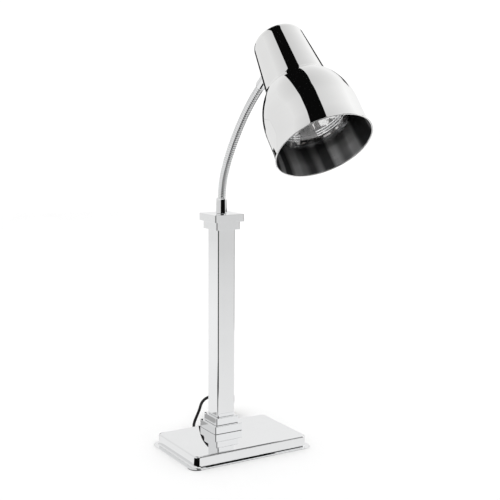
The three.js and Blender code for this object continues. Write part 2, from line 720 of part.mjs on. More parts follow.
function plug() {
  const { side, length, lateral, relief, at } = PLUG;
  const group = new THREE.Group();
  group.position.set(lateral, at, plugAxis());
  group.rotation.x = -Math.PI / 2; // z now runs along the hank, and y is down
  const body = solid(softPrism(side, side, 6, 0, length, 2, 2));
  const blade = (x) => block([x - 0.75, -7.2, 0], [x + 0.75, -0.8, 17]).translate(0, 0, length + GAP);
  const boot = turned([
    [0, -GAP], [6.5, -GAP], [6.2, -4], [4.4, -relief], [0, -relief],
  ], 16);
  group.add(
    piece('plug_body', body, RUBBER),
    piece('plug_blade_1', blade(-6.35), BRASS),
    piece('plug_blade_2', blade(6.35), BRASS),
    piece('plug_earth_pin', rod(2.4, length + GAP, length + 20.6, 16).translate(0, 7.9, 0), BRASS),
    piece('plug_relief', boot, RUBBER),
  );
  return group;
}

function cordGland() {
  const { flangeRadius, rootRadius, tipRadius, length } = GLAND;
  const face = COLUMN.side / 2;
  const bore = CORD.diameter / 2 + GAP;
  const body = turned([
    [bore, face - 4.5], [7.5, face - 4.5], [7.5, face - SHEET - GAP], [rootRadius, face - SHEET - GAP],
    [rootRadius, face + GAP], [flangeRadius, face + GAP],
    [flangeRadius - 0.4, face + 2.2], [rootRadius, face + 2.6],
    [tipRadius, face + length], [bore, face + length],
  ]);
  return body.rotateX(-Math.PI / 2).translate(0, COLUMN.y, GLAND.z);
}

function cord() {
  const hank = new THREE.Group();
  hank.position.set(HANK.x, HANK.y, 0);
  hank.rotation.z = rad(HANK.yaw);
  const around = hankSpace(GAP);
  const lead = solid(cable(CORD_ROUTE.map(toHankFrame), CORD.diameter)).subtract(around);
  const tail = solid(cable(TAIL_ROUTE, CORD.diameter)).subtract(around);
  hank.add(
    piece('cord_lead', lead, RUBBER),
    piece('cord_hank', hankSpace(0), RUBBER),
    piece('cord_tail', tail, RUBBER),
    piece('cord_tie', cordTie(), RUBBER),
    plug(),
  );
  return [piece('cord_gland', cordGland(), RUBBER), hank];
}

// ---------------------------------------------------------------- the whole lamp

const heatLamp = new THREE.Group();
heatLamp.add(...base(), column(), powerSwitch(), ...gooseneck(), head(), ...cord());

export default heatLamp;
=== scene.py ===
import json
import math

import bmesh
import bpy
import numpy as np
from mathutils import Matrix, Vector


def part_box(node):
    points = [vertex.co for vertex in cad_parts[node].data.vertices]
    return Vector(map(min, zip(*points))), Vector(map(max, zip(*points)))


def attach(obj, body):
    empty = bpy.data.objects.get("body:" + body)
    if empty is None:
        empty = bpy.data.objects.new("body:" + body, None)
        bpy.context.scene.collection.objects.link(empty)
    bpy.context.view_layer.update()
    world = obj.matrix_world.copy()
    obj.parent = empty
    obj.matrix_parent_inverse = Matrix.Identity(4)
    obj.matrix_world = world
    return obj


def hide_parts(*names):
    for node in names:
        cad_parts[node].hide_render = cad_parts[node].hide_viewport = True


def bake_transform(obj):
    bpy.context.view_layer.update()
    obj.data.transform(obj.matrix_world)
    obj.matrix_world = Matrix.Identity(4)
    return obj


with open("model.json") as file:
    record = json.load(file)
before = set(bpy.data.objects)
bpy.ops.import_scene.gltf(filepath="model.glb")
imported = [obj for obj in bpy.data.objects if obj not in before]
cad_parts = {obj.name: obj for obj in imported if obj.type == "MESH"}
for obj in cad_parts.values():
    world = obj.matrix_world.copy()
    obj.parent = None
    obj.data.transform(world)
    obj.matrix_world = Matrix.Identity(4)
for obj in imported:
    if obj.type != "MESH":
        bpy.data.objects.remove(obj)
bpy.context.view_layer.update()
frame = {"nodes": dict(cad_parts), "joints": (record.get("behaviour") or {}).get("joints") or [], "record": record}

# Lengths are in metres, except in profiles and in the sizes that are named without MM: those are in mm.
MM = 0.001
SHARP_ANGLE = 32  # degrees between faces, from which an edge is shaded sharp
BODY_OF = {node: body for body, nodes in frame["record"]["behaviour"]["bodies"].items() for node in nodes}
SLOT_OF = {row["node"]: row["material_slot"] for row in frame["record"]["subparts"]}
HINGES = [Vector(joint["pos_m"]) for joint in frame["joints"] if joint["name"].startswith("neck")]

# The column stands at this distance behind the middle of the base.
COLUMN_Y = 44 * MM

# The shade's own frame: z up its axis from the mouth, +y towards the gooseneck.
SHADE_TILT = math.radians(51)
SHADE_UP = Vector((0, math.cos(SHADE_TILT), math.sin(SHADE_TILT)))
TO_SHADE = Vector((0, -math.sin(SHADE_TILT), math.cos(SHADE_TILT)))  # from the neck, square to the axis
NECK_TO_AXIS = 95.65 * MM
MOUNT_HEIGHT = 208 * MM


# ---------------------------------------------------------------- camera

VIEW_HEADING = 31.27  # degrees from +Y towards +X that the camera looks along
CAMERA_AT = (-0.95604, -1.64007, 0.66957)


def add_camera():
    """The camera stands 31 degrees round to the left of the front and looks 8 degrees down."""
    yaw = math.radians(-VIEW_HEADING)
    pitch = math.radians(8.11)
    roll = math.radians(0.36)
    forward = Vector((-math.sin(yaw) * math.cos(pitch), math.cos(yaw) * math.cos(pitch), -math.sin(pitch)))
    level = Vector((math.cos(yaw), math.sin(yaw), 0))
    right = Matrix.Rotation(-roll, 3, forward) @ level
    above = right.cross(forward)
    camera = bpy.data.objects.new("camera", bpy.data.cameras.new("camera"))
    bpy.context.scene.collection.objects.link(camera)
    turn = Matrix((right, above, -forward)).transposed()
    camera.matrix_world = Matrix.Translation(CAMERA_AT) @ turn.to_4x4()
    camera.data.sensor_width = 36
    camera.data.lens = 70.39
    bpy.context.scene.camera = camera


# ---------------------------------------------------------------- mesh tools

def rounded(points, steps=5, closed=False):
    """A polyline of (x, y) or (x, y, radius) points, in mm, with its corners rounded, in metres."""
    count = len(points)
    result = []
    for i, point in enumerate(points):
        here = Vector(point[:2])
        radius = point[2] if len(point) > 2 else 0
        if radius == 0 or (not closed and i in (0, count - 1)):
            result.append(here)
            continue
        before = Vector(points[i - 1][:2]) - here
        after = Vector(points[(i + 1) % count][:2]) - here
        half = before.angle(after) / 2
        reach = min(radius / math.tan(half), 0.46 * before.length, 0.46 * after.length)
        radius = reach * math.tan(half)
        centre = here + (before.normalized() + after.normalized()).normalized() * (radius / math.sin(half))
        start = here + before.normalized() * reach
        end = here + after.normalized() * reach
        first = math.atan2(*(start - centre).yx)
        turn = (math.atan2(*(end - centre).yx) - first + math.pi) % (2 * math.pi) - math.pi
        support = 0.08 * reach
        result.append(start + before.normalized() * support)
        for k in range(steps + 1):
            angle = first + turn * k / steps
            result.append(centre + radius * Vector((math.cos(angle), math.sin(angle))))
        result.append(end + after.normalized() * support)
    return [(x * MM, y * MM) for x, y in result]


def skin(rings, cap_first=False, cap_last=False, closed=False):
    """Vertices and faces of a surface through rings of points, each ring closed on itself."""
    rings = np.asarray(rings, float)
    count, sides, _ = rings.shape
    faces = []
    for i in range(count if closed else count - 1):
        low = i * sides
        high = ((i + 1) % count) * sides
        for j in range(sides):
            k = (j + 1) % sides
            faces.append((low + j, low + k, high + k, high + j))
    if cap_first:
        faces.append(tuple(range(sides))[::-1])
    if cap_last:
        faces.append(tuple(range((count - 1) * sides, count * sides)))
    return rings.reshape(-1, 3), faces


def lathe(profile, segments=96, closed=False):
    """A surface of revolution about z from (radius, height) points in metres."""
    angles = np.linspace(0, 2 * np.pi, segments, endpoint=False)
    circle = np.stack([np.cos(angles), np.sin(angles), np.zeros(segments)], 1)
    rings = [circle * radius + (0, 0, height) for radius, height in profile]
    return skin(rings, closed=closed)


def rectangle_ring(half_x, half_y, corner, offset, height, steps):
    """A rounded rectangle at a height, moved outwards by offset: all in metres."""
    radius = corner + offset
    support = min(1.0 * MM, 0.25 * corner)
    points = []
    for quarter in range(4):
        side_x = 1 if quarter in (0, 3) else -1
        side_y = 1 if quarter in (0, 1) else -1
        centre = np.array([side_x * (half_x - corner), side_y * (half_y - corner), height])
        angles = [(quarter + k / steps) * math.pi / 2 for k in range(steps + 1)]
        arc = [centre + radius * np.array([math.cos(a), math.sin(a), 0]) for a in angles]
        first, last = angles[0], angles[-1]
        before = arc[0] - support * np.array([-math.sin(first), math.cos(first), 0])
        after = arc[-1] + support * np.array([-math.sin(last), math.cos(last), 0])
        points += [before, *arc, after]
    return points


def swept_rectangle(profile, size_x, size_y, corner, steps=8, closed=False):
    """A block whose sides follow an (offset, height) profile in metres; the sizes are in mm."""
    rings = [
        rectangle_ring(size_x / 2 * MM, size_y / 2 * MM, corner * MM, offset, height, steps)
        for offset, height in profile
    ]
    return skin(rings, cap_first=not closed, cap_last=not closed, closed=closed)


def path_frames(points):
    """The tangent and two square directions at each point of a path, with no twist along it."""
    points = np.asarray(points, float)
    tangents = np.gradient(points, axis=0)
    tangents /= np.linalg.norm(tangents, axis=1)[:, None]
    side = np.cross(tangents[0], (1.0, 0.0, 0.0))
    if np.linalg.norm(side) < 0.1:
        side = np.cross(tangents[0], (0.0, 1.0, 0.0))
    sides = []
    for tangent in tangents:
        side = side - tangent * (side @ tangent)
        side = side / np.linalg.norm(side)
        sides.append(side)
    sides = np.array(sides)
    return tangents, sides, np.cross(tangents, sides)


def add_piece(name, geometry, material, stands_for, place=None, sharp=SHARP_ANGLE, ride=True):
    """A new piece that stands for CAD nodes: it takes its body from the first of them.

    The placing goes into the mesh, so the piece's own box is as tight as the piece."""
    vertices, faces = geometry
    mesh = bpy.data.meshes.new(name)
    mesh.from_pydata([tuple(v) for v in vertices], [], faces)
    if place is not None:
        mesh.transform(place)
    work = bmesh.new()
    work.from_mesh(mesh)
    bmesh.ops.remove_doubles(work, verts=work.verts, dist=1e-6)
    bmesh.ops.recalc_face_normals(work, faces=work.faces)
    work.to_mesh(mesh)
    work.free()
    mesh.materials.append(material)
    mesh.shade_smooth()
    mesh.set_sharp_from_angle(angle=math.radians(sharp))
    piece = bpy.data.objects.new(name, mesh)
    bpy.context.scene.collection.objects.link(piece)
    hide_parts(*stands_for)
    if ride:
        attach(piece, BODY_OF[stands_for[0]])
    return piece


# ---------------------------------------------------------------- materials

def add_coordinates(tree, stretch=(1, 1, 1), place=None):
    """The piece's own coordinates, or those of a placing within it, stretched along each axis."""
    coordinates = tree.nodes.new("ShaderNodeTexCoord")
    mapping = tree.nodes.new("ShaderNodeMapping")
    mapping.vector_type = "TEXTURE"
    mapping.inputs["Scale"].default_value = [1 / factor for factor in stretch]
    if place is not None:
        mapping.inputs["Location"].default_value = place.translation
        mapping.inputs["Rotation"].default_value = place.to_euler()
    tree.links.new(coordinates.outputs["Object"], mapping.inputs["Vector"])
    return mapping.outputs["Vector"]


def add_noise(tree, scale, detail=3.0, stretch=(1, 1, 1), place=None):
    """A noise texture on the piece's own coordinates, or on those of a placing within it."""
    noise = tree.nodes.new("ShaderNodeTexNoise")
    noise.inputs["Scale"].default_value = scale
    noise.inputs["Detail"].default_value = detail
    tree.links.new(add_coordinates(tree, stretch, place), noise.inputs["Vector"])
    return noise.outputs["Fac"]


def add_range(tree, value, low, high, start=0.25, end=0.75):
    """The value, stretched from start..end to low..high."""
    node = tree.nodes.new("ShaderNodeMapRange")
    node.inputs["From Min"].default_value = start
    node.inputs["From Max"].default_value = end
    node.inputs["To Min"].default_value = low
    node.inputs["To Max"].default_value = high
    tree.links.new(value, node.inputs["Value"])
    return node.outputs["Result"]


def add_mix(tree, factor, first, second):
    """A colour between two others."""
    node = tree.nodes.new("ShaderNodeMix")
    node.data_type = "RGBA"
    node.inputs["A"].default_value = (*first, 1)
    node.inputs["B"].default_value = (*second, 1)
    tree.links.new(factor, node.inputs["Factor"])
    return node.outputs["Result"]


def add_bump(tree, height, distance):
    """A normal bent by the height, where a height of one is the distance deep."""
    node = tree.nodes.new("ShaderNodeBump")
    node.inputs["Strength"].default_value = 1.0
    node.inputs["Distance"].default_value = distance
    tree.links.new(height, node.inputs["Height"])
    return node.outputs["Normal"]


def make_material(
    name, color, roughness, metallic=0.0, tint=0.04, rough_spread=0.03,
    scale=40, grain=900, bump=0.0, stretch=(1, 1, 1), place=None, sockets=None,
):
    """A Principled material whose colour, roughness and bump vary with noise.

    The scale is for the slow changes of colour and gloss, and the grain is for the bump, which is
    `bump` metres deep."""
    material = bpy.data.materials.new(name)
    material.use_nodes = True
    tree = material.node_tree
    shader = tree.nodes["Principled BSDF"]
    shader.inputs["Metallic"].default_value = metallic
    for socket, value in (sockets or {}).items():
        shader.inputs[socket].default_value = value
    slow = add_noise(tree, scale, stretch=stretch, place=place)
    darker = [c * (1 - tint) for c in color]
    lighter = [min(1.0, c * (1 + tint)) for c in color]
    tree.links.new(add_mix(tree, add_range(tree, slow, 0, 1), darker, lighter), shader.inputs["Base Color"])
    low = max(0.0, roughness - rough_spread)
    tree.links.new(add_range(tree, slow, low, roughness + rough_spread), shader.inputs["Roughness"])
    if bump:
        fine = add_noise(tree, grain, detail=4, stretch=stretch, place=place)
        tree.links.new(add_bump(tree, fine, bump), shader.inputs["Normal"])
    return material


STREAK_HIGHLIGHT_TURN = math.radians(-22)  # of the painted highlight streaks, round the shade's axis


def lining_material(place):
    """The shade's satin inside: dark, with soft streaks of painted highlight in its colour that run from the rim
    up to the crown.
    """
    material = bpy.data.materials.new("satin_lining")
    material.use_nodes = True
    tree = material.node_tree
    shader = tree.nodes["Principled BSDF"]
    shader.inputs["Metallic"].default_value = 0.85
    direction = tree.nodes.new("ShaderNodeVectorMath")
    direction.operation = "NORMALIZE"
    turned = place @ Matrix.Rotation(STREAK_HIGHLIGHT_TURN, 4, "Z")
    tree.links.new(add_coordinates(tree, (1, 1, 0.05), turned), direction.inputs[0])
    # The streaks are painted highlights: the colour goes from dark to light where the noise round the axis is
    # high.
    painted_streaks = tree.nodes.new("ShaderNodeTexNoise")
    painted_streaks.inputs["Scale"].default_value = 2.6
    painted_streaks.inputs["Detail"].default_value = 1.0
    tree.links.new(direction.outputs["Vector"], painted_streaks.inputs["Vector"])
    highlight_share = add_range(tree, painted_streaks.outputs["Fac"], 0, 1, 0.48, 0.62)
    color = add_mix(tree, highlight_share, (0.08, 0.08, 0.083), (0.58, 0.58, 0.585))
    tree.links.new(color, shader.inputs["Base Color"])
    spun = add_noise(tree, 40, detail=3, stretch=(1, 1, 40), place=place)
    tree.links.new(add_range(tree, spun, 0.26, 0.42), shader.inputs["Roughness"])
    tree.links.new(add_bump(tree, spun, 0.00002), shader.inputs["Normal"])
    return material


def make_materials():
    """One material for each slot of the record."""
    return {
        "polished_steel": make_material(
            "mirror_steel", (0.86, 0.865, 0.87), 0.035, 1.0, tint=0.01, rough_spread=0.02,
            scale=25, grain=60, bump=0.0000015,
        ),
        "polished_shade": make_material(
            "mirror_shade", (0.90, 0.90, 0.895), 0.018, 1.0, tint=0.01, rough_spread=0.01,
            scale=18, grain=50, bump=0.0000015, stretch=(1, 1, 4), place=shade_frame(),
        ),
        "gooseneck_steel": make_material(
            "gooseneck_steel", (0.80, 0.805, 0.81), 0.09, 1.0, tint=0.03, scale=80, grain=700, bump=0.00001,
        ),
        "zinc_steel": make_material(
            "zinc_steel", (0.60, 0.61, 0.63), 0.38, 1.0, tint=0.10, rough_spread=0.08, scale=120, grain=900,
            bump=0.00002,
        ),
        "ballast_iron": make_material(
            "cast_iron", (0.05, 0.05, 0.052), 0.62, 0.4, tint=0.25, rough_spread=0.12, scale=90, grain=500,
            bump=0.00025,
        ),
        "brass": make_material(
            "brass", (0.72, 0.53, 0.24), 0.22, 1.0, tint=0.08, rough_spread=0.07, scale=150, grain=900,
            bump=0.00001,
        ),
        "pad_rubber": make_material(
            "pad_rubber", (0.025, 0.025, 0.026), 0.75, tint=0.2, rough_spread=0.08, scale=70, grain=1500,
            bump=0.00015,
        ),
        "cord_rubber": make_material(
            "cord_rubber", (0.006, 0.006, 0.0065), 0.55, tint=0.15, rough_spread=0.07, scale=200,
            grain=1800, bump=0.00006, sockets={"Specular IOR Level": 0.25},
        ),
        "tie_plastic": make_material(
            "hook_and_loop", (0.02, 0.02, 0.022), 0.85, tint=0.3, rough_spread=0.1, scale=500, grain=2500,
            bump=0.0004, sockets={"Sheen Weight": 0.4},
        ),
        "switch_plastic": make_material(
            "switch_plastic", (0.02, 0.02, 0.021), 0.3, tint=0.1, rough_spread=0.05, scale=150, grain=2500,
            bump=0.00003,
        ),
        "porcelain": make_material(
            "glazed_porcelain", (0.80, 0.78, 0.73), 0.14, tint=0.03, rough_spread=0.05, scale=60, grain=300,
            bump=0.00003, sockets={"Coat Weight": 0.5},
        ),
        "terminal_nylon": make_material(
            "nylon", (0.76, 0.74, 0.67), 0.45, tint=0.04, scale=120, grain=1200, bump=0.00004,
            sockets={"Subsurface Weight": 0.1},
        ),
        "tungsten": make_material(
            "tungsten", (0.30, 0.29, 0.28), 0.35, 1.0, tint=0.1, scale=300, grain=2000, bump=0.00001,
        ),
        "wire_sleeve": make_material(
            "glass_fibre_sleeve", (0.74, 0.70, 0.60), 0.8, tint=0.12, scale=400, grain=1800, bump=0.0002,
        ),
        "lamp_glass": make_material(
            "lamp_glass", (0.96, 0.97, 0.98), 0.03, tint=0.01, rough_spread=0.02, scale=60, grain=120,
            bump=0.00004, sockets={"Transmission Weight": 1.0, "IOR": 1.47},
        ),
    }


def reflector_material(place):
    """The silvered inside of the lamp's back, with bright and dull facets painted into its colour as glints and
    dark reflections.
    """
    material = make_material(
        "lamp_silver", (0.85, 0.84, 0.83), 0.04, 1.0, tint=0.08, rough_spread=0.02, scale=55, grain=60,
        bump=0.00003, stretch=(1, 1, 2), place=place,
    )
    tree = material.node_tree
    # The facets take the place of the plain colour: they are painted glints and dark reflections.
    glint_facets = tree.nodes.new("ShaderNodeTexVoronoi")
    glint_facets.inputs["Scale"].default_value = 26
    tree.links.new(add_coordinates(tree, (1, 1, 0.5), place), glint_facets.inputs["Vector"])
    painted_glint = add_range(tree, glint_facets.outputs["Color"], 0, 1, 0.5, 0.62)
    color = add_mix(tree, painted_glint, (0.13, 0.12, 0.115), (0.92, 0.91, 0.90))
    tree.links.new(color, tree.nodes["Principled BSDF"].inputs["Base Color"])
    return material


# ---------------------------------------------------------------- cord

CORD_DIAMETER = 6 * MM
CORD_EXIT = (0, 84.6 * MM, 79.5 * MM)

# From the strain relief to the hank, in metres.
CORD_ROUTE = [
    (0, 0.058, 0.0795), (0, 0.073, 0.0795), (0, 0.0865, 0.0795),
    (-0.0007, 0.093, 0.0777), (-0.0024, 0.0994, 0.0742), (-0.0041, 0.1064, 0.0694),
    (-0.0049, 0.1138, 0.0633), (-0.0044, 0.121, 0.0563), (-0.0031, 0.1276, 0.0488),
    (-0.0027, 0.1326, 0.0403), (-0.0048, 0.1355, 0.0312), (-0.0094, 0.1352, 0.0224),
    (-0.0154, 0.1313, 0.0149), (-0.0208, 0.1243, 0.0095), (-0.0239, 0.115, 0.0064),
    (-0.0234, 0.1052, 0.0053), (-0.0192, 0.0964, 0.0055), (-0.0118, 0.0899, 0.0059),
    (-0.0024, 0.087, 0.006), (0.0069, 0.0872, 0.006), (0.016, 0.0894, 0.0058),
    (0.0267, 0.0929, 0.0053), (0.0368, 0.096, 0.0048), (0.047, 0.0982, 0.0043),
]

# From the hank's last turn to the plug, in the hank's own frame: +y along its length.
TAIL_ROUTE = [
    (-0.024, -0.021, 0.0163), (-0.024, -0.032, 0.0167), (-0.0214, -0.0437, 0.0177),
    (-0.0127, -0.0532, 0.0191), (-0.0006, -0.0567, 0.0205), (0.0114, -0.0532, 0.022),
    (0.019, -0.0445, 0.0238), (0.021, -0.0345, 0.0262), (0.0194, -0.025, 0.0291),
    (0.0169, -0.0165, 0.0314), (0.0156, -0.0095, 0.0321), (0.0155, -0.0034, 0.0321),
]
TAIL_GAP = 4 * MM  # the last turn stops this far short of the tail's first point
HANK_FRAME = Matrix.Translation((0.0596, 0.150, 0)) @ Matrix.Rotation(math.radians(-31.3), 4, "Z")
HANK_RUN = 33 * MM
HANK_OUTER = 24 * MM
HANK_INNER = 18 * MM
HANK_LEVELS = [4.3 * MM, 10.3 * MM, 16.3 * MM]
HANK_START = -47.8  # degrees round the near folds, where the cord joins them
HANK_TURNS = [  # radius of the folds and height of each turn
    (HANK_OUTER, HANK_LEVELS[0]), (HANK_INNER, HANK_LEVELS[0]), (HANK_INNER, HANK_LEVELS[1]),
    (HANK_OUTER, HANK_LEVELS[1]), (HANK_INNER, HANK_LEVELS[2]), (HANK_OUTER, HANK_LEVELS[2]),
]


def smooth_path(points, spacing):
    """Even points along a centripetal Catmull-Rom curve through the points."""
    points = [np.array(p, float) for p in points]
    points = [2 * points[0] - points[1], *points, 2 * points[-1] - points[-2]]
    dense = []
    for p0, p1, p2, p3 in zip(points, points[1:], points[2:], points[3:]):
        t1 = math.sqrt(np.linalg.norm(p1 - p0))
        t2 = t1 + math.sqrt(np.linalg.norm(p2 - p1))
        t3 = t2 + math.sqrt(np.linalg.norm(p3 - p2))
        for t in np.linspace(t1, t2, 24, endpoint=False):
            a1 = ((t1 - t) * p0 + t * p1) / t1
            a2 = ((t2 - t) * p1 + (t - t1) * p2) / (t2 - t1)
            a3 = ((t3 - t) * p2 + (t - t2) * p3) / (t3 - t2)
            b1 = ((t2 - t) * a1 + t * a2) / t2
            b2 = ((t3 - t) * a2 + (t - t1) * a3) / (t3 - t1)
            dense.append(((t2 - t) * b1 + (t - t1) * b2) / (t2 - t1))
    dense = np.array([*dense, points[-2]])
    along = np.concatenate([[0], np.cumsum(np.linalg.norm(np.diff(dense, axis=0), axis=1))])
    count = max(4, round(along[-1] / spacing))
    even = np.linspace(0, along[-1], count + 1)
    return np.stack([np.interp(even, along, dense[:, axis]) for axis in range(3)], 1)


def hank_turn():
    """One turn of the hank as (direction x, direction y, fold centre's y, share of the change-over)."""
    turn = []
    for angle in np.arange(HANK_START, 0, 6):
        turn.append((math.cos(math.radians(angle)), math.sin(math.radians(angle)), -HANK_RUN, 0))
    for y in np.linspace(-HANK_RUN, HANK_RUN, 9)[:-1]:
        turn.append((1, 0, y, 0))
    for angle in range(0, 180, 6):
        turn.append((math.cos(math.radians(angle)), math.sin(math.radians(angle)), HANK_RUN, 0))
    for y in np.linspace(HANK_RUN, -HANK_RUN, 9)[:-1]:
        turn.append((-1, 0, y, 0))
    last = 360 + HANK_START
    for angle in np.arange(180, last, 6):
        share = (angle - 180) / (last - 180)
        turn.append((math.cos(math.radians(angle)), math.sin(math.radians(angle)), -HANK_RUN, share))
    return turn


def hank_path():
    """The wound turns in the hank's frame. Each turn changes over to the next on the near folds."""
    path = []
    for i, (radius, height) in enumerate(HANK_TURNS):
        is_last = i == len(HANK_TURNS) - 1
        next_radius, next_height = HANK_TURNS[i] if is_last else HANK_TURNS[i + 1]
        for x, y, centre, share in hank_turn():
            if is_last and x == -1 and centre < TAIL_ROUTE[0][1] + TAIL_GAP:
                return path
            ease = share * share * (3 - 2 * share)
            r = radius + (next_radius - radius) * ease
            path.append((r * x, centre + r * y, height + (next_height - height) * ease))
    return path


def cord_path():
    """The whole cord's centreline."""
    wound = [HANK_FRAME @ Vector(p) for p in hank_path()]
    tail = [HANK_FRAME @ Vector(p) for p in smooth_path(TAIL_ROUTE, 3 * MM)]
    lead = smooth_path(CORD_ROUTE, 3 * MM)
    return np.array([*lead[:-1], *[tuple(p) for p in wound], *[tuple(p) for p in tail]])


def add_cord(materials):
    """The whole cord as one round curve, and its length."""
    path = cord_path()
    curve = bpy.data.curves.new("power_cord", "CURVE")
    curve.dimensions = "3D"
    curve.bevel_depth = CORD_DIAMETER / 2
    curve.bevel_resolution = 6
    curve.use_fill_caps = True
    spline = curve.splines.new("POLY")
    spline.points.add(len(path) - 1)
    spline.points.foreach_set("co", np.column_stack([path, np.ones(len(path))]).ravel())
    spline.use_smooth = True
    curve.materials.append(materials["cord_rubber"])
    cord = bpy.data.objects.new("power_cord", curve)
    bpy.context.scene.collection.objects.link(cord)
    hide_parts("cord_lead", "cord_hank", "cord_tail")
    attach(cord, "stand")
    length = float(np.linalg.norm(np.diff(path, axis=0), axis=1).sum())
    return cord, length


STRAP_AT = -12  # along the hank
STRAP_HALF_WIDTH = 7.5
STRAP_THICKNESS = 1
STRAP_HALF_SPAN = 27.4
STRAP_HALF_HEIGHT = 10.3


def add_strap(materials):
    """The band round the hank: one flat closed loop."""
    band = STRAP_HALF_WIDTH
    loop = rounded([
        (0, -band, 0.4), (STRAP_THICKNESS, -band, 0.4), (STRAP_THICKNESS, band, 0.4), (0, band, 0.4),
    ], steps=3, closed=True)
    inside_height = 2 * (STRAP_HALF_HEIGHT - STRAP_THICKNESS)
    geometry = swept_rectangle(loop, 2 * STRAP_HALF_SPAN, inside_height, 5, steps=6, closed=True)
    place = (
        HANK_FRAME @ Matrix.Translation((0, STRAP_AT * MM, STRAP_HALF_HEIGHT * MM))
        @ Matrix.Rotation(math.radians(-90), 4, "X")
    )
    return add_piece("cord_strap", geometry, materials["tie_plastic"], ["cord_tie"], place)


PLUG_AT = 22  # along the hank
PLUG_LATERAL = 15.5
PLUG_HEIGHT = 32.1
BLADE_LATERAL = 6.35
BLADE_AT = -4
EARTH_PIN_AT = 7.9


def add_plug(materials):
    """The moulded plug, lying on the hank with its pins along the hank's length."""
    place = (
        HANK_FRAME @ Matrix.Translation((PLUG_LATERAL * MM, PLUG_AT * MM, PLUG_HEIGHT * MM))
        @ Matrix.Rotation(math.radians(-90), 4, "X")
    )
    outline = [(-7, 0, 1), (-3.2, 0.2, 3), (-1.2, 5, 4), (-1.4, 9, 1)]
    for ridge in range(5):
        foot = 9.5 + ridge * 3.2
        outline += [
            (-1.6, foot, 0.3), (-0.4, foot + 0.5, 0.5), (-0.4, foot + 1.9, 0.5), (-1.6, foot + 2.4, 0.3),
        ]
    outline += [(-1.2, 27, 1), (0, 29, 1.5), (0, 37.4, 0.8), (-1, 38, 0.4), (-6, 38)]
    body = swept_rectangle(rounded(outline, steps=3), 25, 25, 7, steps=8)
    pieces = [add_piece("plug_moulding", body, materials["cord_rubber"], ["plug_body"], place)]
    for number, side in ((1, -1), (2, 1)):
        blade = rounded([(-0.2, 38.3), (0, 38.3), (0, 52.3, 1), (-0.45, 55.3, 0.2), (-0.5, 55.3)], steps=3)
        here = place @ Matrix.Translation((side * BLADE_LATERAL * MM, BLADE_AT * MM, 0))
        geometry = swept_rectangle(blade, 1.5, 6.4, 0.6, steps=3)
        node = f"plug_blade_{number}"
        pieces.append(add_piece(f"plug_pin_{number}", geometry, materials["brass"], [node], here))
    pin = lathe(rounded([(0, 38.3), (2.4, 38.3), (2.4, 58.6, 2), (0, 58.6)], steps=6), 32)
    here = place @ Matrix.Translation((0, EARTH_PIN_AT * MM, 0))
    pieces.append(add_piece("plug_pin_earth", pin, materials["brass"], ["plug_earth_pin"], here))
    relief = [(3.05, -25), (4.4, -25, 0.5)]
    for rib in range(5):
        foot = -22.5 + 4.3 * rib
        wide = 4.5 + 0.45 * rib
        relief += [
            (wide, foot, 0.4), (wide - 0.9, foot + 0.5, 0.4), (wide - 0.9, foot + 1.7, 0.4),
            (wide + 0.2, foot + 2.2, 0.4),
        ]
    relief += [(6.5, -0.3, 0.4), (3.05, -0.3)]
    boot = lathe(rounded(relief, steps=3), 40)
    pieces.append(add_piece("plug_boot", boot, materials["cord_rubber"], ["plug_relief"], place))
    return pieces


def add_strain_relief(materials):
    """The grommet in the column's back and its tapered, ribbed boot."""
    profile = [
        (3.2, 15.6), (7.5, 15.6, 0.4), (7.5, 18.2, 0.4), (5.8, 18.2, 0.3), (5.8, 20.3, 0.1),
        (8.5, 20.3, 0.4), (8.5, 22, 0.8), (6.2, 22.7, 0.8),
    ]
    for rib in range(4):
        foot = 24.2 + 4.1 * rib
        wide = 6.0 - 0.36 * rib
        profile += [
            (wide, foot, 0.5), (wide - 1.0, foot + 0.6, 0.4), (wide - 1.1, foot + 1.9, 0.4),
            (wide - 0.25, foot + 2.5, 0.5),
        ]
    profile += [(4.5, 40.6, 0.5), (3.2, 40.6)]
    place = Matrix.Translation((0, COLUMN_Y, CORD_EXIT[2])) @ Matrix.Rotation(math.radians(-90), 4, "X")
    boot = lathe(rounded(profile, steps=4), 56)
    return add_piece("strain_relief", boot, materials["cord_rubber"], ["cord_gland"], place)


# ---------------------------------------------------------------- base and column

BASE_SIZE = (253, 165)
BASE_CORNER = 10.5
PAD_SIZE = (239, 151)
COLUMN_SIDE = 40
COLUMN_ENDS = (55, 436.2)


def add_base(materials):
    """The pressed cover with its flange, and the rubber pad under it."""
    outer = [
        (9.9, 0.5), (10, 0.6, 0.2), (10, 2.0, 0.7), (1.1, 2.0, 0.4), (0, 4.1, 1.0), (0, 24, 3.2),
        (-8.8, 24),
    ]
    inner = [(-8.8, 22.5), (-1.5, 22.5, 0.6), (-1.5, 0.4, 0.2), (9.7, 0.4, 0.1)]
    profile = rounded([*inner, *outer], steps=7)
    shell = swept_rectangle(profile, *BASE_SIZE, BASE_CORNER, steps=16)
    add_piece("base_shell", shell, materials["polished_steel"], ["base_cover"])
    edge = rounded([(-2, 0), (0, 0, 0.5), (0, 1.5, 0.5), (-2, 1.5)], steps=4)
    pad = swept_rectangle(edge, *PAD_SIZE, 7, steps=8)
    add_piece("base_foot_pad", pad, materials["pad_rubber"], ["base_pad"])


def add_steps(materials):
    """The two steps under the column and the two on top of it."""
    for node in ("plinth_lower", "plinth_upper", "capital_lower", "capital_upper"):
        low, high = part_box(node)
        side = (high.x - low.x) / MM
        bottom, top = low.z / MM, high.z / MM
        profile = rounded([(-1.2, bottom), (0, bottom, 0.45), (0, top, 0.45), (-1.2, top)], steps=5)
        place = Matrix.Translation((0, COLUMN_Y, 0))
        geometry = swept_rectangle(profile, side, side, 2.4, steps=10)
        add_piece(f"{node}_step", geometry, materials["polished_steel"], [node], place)


